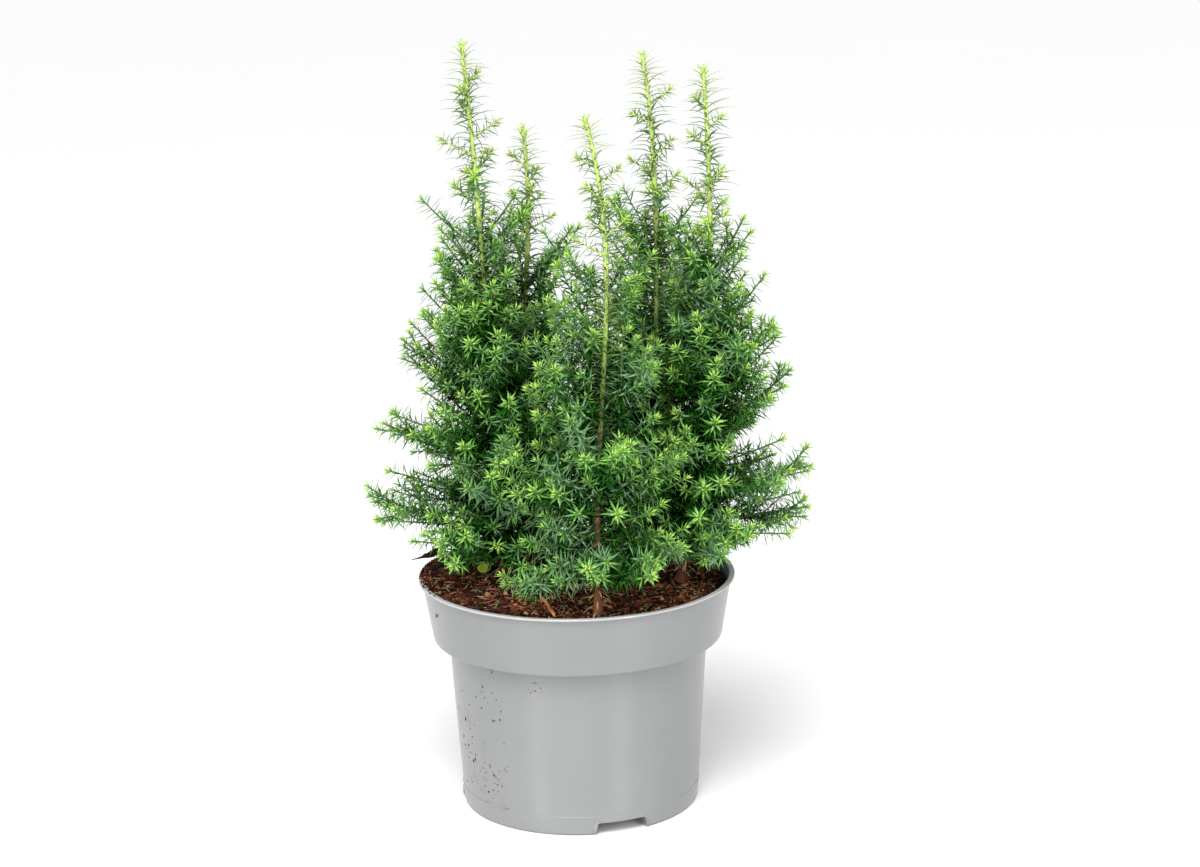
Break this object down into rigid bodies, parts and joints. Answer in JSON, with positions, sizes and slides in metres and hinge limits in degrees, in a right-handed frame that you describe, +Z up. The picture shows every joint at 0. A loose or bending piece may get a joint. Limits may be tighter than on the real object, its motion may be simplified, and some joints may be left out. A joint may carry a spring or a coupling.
{
  "type": "potted atlantic white cedar",
  "caption": "Young atlantic white cedar with upright stems and soft needle-like foliage, in a grey plastic nursery pot of bark compost.",
  "frame": {"origin": "centre of the pot's flat underside", "axes": "+Z up along the stems; -Y towards the side that the picture shows; +X to that picture's right"},
  "size_m": [0.2751, 0.2276, 0.4595],
  "materials": {
    "pot": "satin light grey polypropylene",
    "compost": "moist fibrous bark compost",
    "bark": "thin red-brown bark",
    "needles": "soft green needles",
    "leader_needles": "fresh lime-green needles"
  },
  "bodies": {
    "root": {"bough_back_left_low": "bark", "bough_back_right_low": "bark", "bough_front_low": "bark", "bough_left_low": "bark", "bough_right_low": "bark", "compost": "compost", "leader_back_left": "leader_needles", "leader_back_right": "leader_needles", "leader_front": "leader_needles", "leader_left": "leader_needles", "leader_right": "leader_needles", "mass_back_left_inner": "needles", "mass_back_left_low": "needles", "mass_back_left_low_back": "needles", "mass_back_left_outer": "needles", "mass_back_left_top_inner": "needles", "mass_back_left_top_outer": "needles", "mass_back_left_upper_back": "needles", "mass_back_left_upper_outer": "needles", "mass_back_right_inner": "needles", "mass_back_right_low": "needles", "mass_back_right_low_back": "needles", "mass_back_right_outer": "needles", "mass_back_right_top_inner": "needles", "mass_back_right_top_outer": "needles", "mass_back_right_upper_back": "needles", "mass_back_right_upper_outer": "needles", "mass_front_left": "needles", "mass_front_low": "needles", "mass_front_low_front": "needles", "mass_front_low_right": "needles", "mass_front_middle": "needles", "mass_front_right": "needles", "mass_front_top_left": "needles", "mass_front_top_right": "needles", "mass_front_upper_left": "needles", "mass_front_upper_right": "needles", "mass_left_inner": "needles", "mass_left_low": "needles", "mass_left_low_front": "needles", "mass_left_outer": "needles", "mass_left_top_inner": "needles", "mass_left_top_outer": "needles", "mass_left_upper_front": "needles", "mass_left_upper_outer": "needles", "mass_right_inner": "needles", "mass_right_low": "needles", "mass_right_low_front": "needles", "mass_right_outer": "needles", "mass_right_top_inner": "needles", "mass_right_top_outer": "needles", "mass_right_upper_front": "needles", "mass_right_upper_outer": "needles", "pot": "pot", "trunk_back_left": "bark", "trunk_back_right": "bark", "trunk_front": "bark", "trunk_left": "bark", "trunk_right": "bark"}
  },
  "joints": []
}
